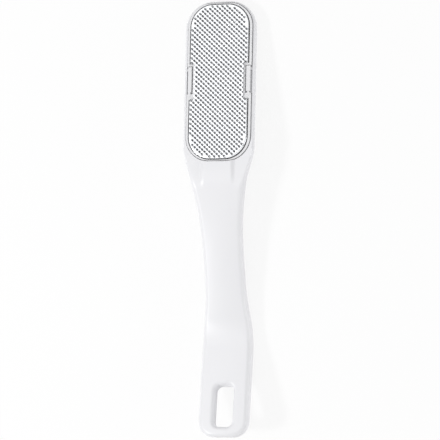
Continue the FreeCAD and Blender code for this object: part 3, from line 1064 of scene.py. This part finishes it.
@dataclass
class Studio:
    """Pale floor, soft lights and the camera."""

    floor_half: float = 4.0
    floor_colour: str = "#F7F7F7"
    floor_glow: float = 0.85
    world_level: float = 0.65
    mirror_level: float = 0.36
    key_place: tuple[float, float, float] = (-0.66, -0.2, 0.82)
    key_size: float = 0.16
    key_power: float = 4.6
    fill_place: tuple[float, float, float] = (0.9, -0.05, 0.16)
    fill_size: float = 0.3
    fill_power: float = 1.7
    sheen_place: tuple[float, float, float] = (-0.34, 0.42, 1.08)
    sheen_size: float = 1.2
    sheen_power: float = 5.6
    aim: tuple[float, float, float] = (0.0, 0.073, 0.013)
    view_yaw: float = 15.687
    view_pitch: float = -2.026
    view_roll: float = -1.256
    view_distance: float = 1.3
    view_height: float = 0.012
    view_centre: tuple[float, float] = (-0.001348, -0.000394)
    view_half_width: float = 0.11698

    def build(self) -> None:
        """Makes the floor, the lights, the world and the camera."""
        self.build_floor()
        self.build_world()
        self.build_lamp("key_softbox", self.key_place, self.key_size, self.key_power)
        self.build_lamp("fill_softbox", self.fill_place, self.fill_size, self.fill_power)
        # It shows in gloss only, most of all in the plate
        sheen = self.build_lamp(
            "sheen_softbox", self.sheen_place, self.sheen_size, self.sheen_power
        )
        sheen.visible_diffuse = False
        self.build_camera()

    def build_floor(self) -> None:
        """Makes the floor: one flat square of paper, lifted to white where it is seen or mirrored."""
        half = self.floor_half
        mesh = bpy.data.meshes.new("floor")
        corners = [(-half, -half, 0.0), (half, -half, 0.0), (half, half, 0.0), (-half, half, 0.0)]
        mesh.from_pydata(corners, [], [(0, 1, 2, 3)])
        floor = bpy.data.objects.new("floor", mesh)
        bpy.context.scene.collection.objects.link(floor)
        material = blank_material("studio_paper")
        paper = add_node(material, "ShaderNodeBsdfDiffuse", {"Color": linear(self.floor_colour)})
        glow = add_node(material, "ShaderNodeEmission", {"Color": WHITE, "Strength": 1.0})
        path = add_node(material, "ShaderNodeLightPath")
        seen = add_node(
            material, "ShaderNodeMath",
            {0: path.outputs["Is Camera Ray"], 1: path.outputs["Is Glossy Ray"]}, operation="MAXIMUM",
        )
        seen_through = add_node(
            material, "ShaderNodeMath",
            {0: seen.outputs[0], 1: path.outputs["Is Transmission Ray"]}, operation="MAXIMUM",
        )
        share = add_node(
            material, "ShaderNodeMath",
            {0: seen_through.outputs[0], 1: self.floor_glow}, operation="MULTIPLY",
        )
        shader = add_node(
            material, "ShaderNodeMixShader",
            {0: share.outputs[0], 1: paper.outputs["BSDF"], 2: glow.outputs["Emission"]},
        )
        add_node(material, "ShaderNodeOutputMaterial", {"Surface": shader.outputs["Shader"]})
        mesh.materials.append(material)

    def build_world(self) -> None:
        """Makes an even pale sky, darker where it is mirrored, so that the steel keeps its depth."""
        world = bpy.data.worlds.new("studio")
        bpy.context.scene.world = world
        world.use_nodes = True
        world.node_tree.nodes.clear()
        path = add_node(world, "ShaderNodeLightPath")
        level = add_node(
            world, "ShaderNodeMapRange",
            {
                "Value": path.outputs["Is Glossy Ray"],
                "To Min": self.world_level,
                "To Max": self.mirror_level,
            },
        )
        sky = add_node(
            world, "ShaderNodeBackground",
            {"Color": WHITE, "Strength": level.outputs["Result"]},
        )
        add_node(world, "ShaderNodeOutputWorld", {"Surface": sky.outputs["Background"]})

    def build_lamp(
        self, name: str, place: tuple[float, float, float], size: float, power: float
    ) -> bpy.types.Object:
        """Makes a square soft light that points at the head.

        Args:
            name: name of the lamp.
            place: where it hangs, in metres.
            size: length of its side, in metres.
            power: its power in watts.

        Returns:
            The lamp.
        """
        light = bpy.data.lights.new(name, "AREA")
        light.size = size
        light.energy = power
        lamp = bpy.data.objects.new(name, light)
        bpy.context.scene.collection.objects.link(lamp)
        lamp.location = place
        lamp.rotation_mode = "QUATERNION"
        lamp.rotation_quaternion = (Vector(self.aim) - Vector(place)).to_track_quat("-Z", "Y")
        return lamp

    def build_camera(self) -> None:
        """Makes the camera: turned by yaw and pitch, then rolled about its line of sight."""
        yaw, pitch, roll = (
            math.radians(angle) for angle in (self.view_yaw, self.view_pitch, self.view_roll)
        )
        back = Vector((
            math.sin(yaw),
            -math.cos(yaw) * math.sin(pitch),
            math.cos(yaw) * math.cos(pitch),
        ))
        right = Vector((0, 1, 0)).cross(back).normalized()
        up = back.cross(right)
        turned_right = right * math.cos(roll) + up * math.sin(roll)
        turned_up = up * math.cos(roll) - right * math.sin(roll)
        centre = Vector((0, 0, self.view_height))
        centre += turned_right * self.view_centre[0] + turned_up * self.view_centre[1]
        data = bpy.data.cameras.new("photo_view")
        data.lens = data.sensor_width / 2 * self.view_distance / self.view_half_width
        camera = bpy.data.objects.new("photo_view", data)
        bpy.context.scene.collection.objects.link(camera)
        axes = Matrix((turned_right, turned_up, back)).transposed()
        camera.matrix_world = Matrix.Translation(centre + back * self.view_distance) @ axes.to_4x4()
        bpy.context.scene.camera = camera


def dress(node: str, material: bpy.types.Material) -> None:
    """Gives a node of the frame its material.

    Args:
        node: name of the node.
        material: the finish it takes.
    """
    mesh = frame["nodes"][node].data
    mesh.materials.clear()
    mesh.materials.append(material)
    LOG.info("dressed %s in %s", node, material.name)


def main() -> None:
    logging.basicConfig(level=logging.INFO)
    bpy.context.scene.view_settings.view_transform = "Standard"
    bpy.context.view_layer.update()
    handle = MouldedPlastic(
        name="abs_moulded_white", colour="#EEEEF0", flow_colour="#EAEAED",
        roughness=0.34, roughness_spread=0.05,
    ).build()
    carrier = MouldedPlastic(
        name="polypropylene_moulded_white", colour="#EBEBED", flow_colour="#E7E7E9",
        roughness=0.3, roughness_spread=0.05,
    ).build()
    front = HandleFront()
    place = PlateFrame.from_record(front.front_drop + front.head_thickness)
    steel = BrightSheet().build(place)
    front.build(place, handle)
    dress("back_handle_shell", handle)
    for node in ("plate_carrier", "right_release_finger", "left_release_finger"):
        dress(node, carrier)
    dress("rasp_plate", steel)
    RaspTeeth().build(place, steel)
    Studio().build()


if __name__ == "__main__":
    main()
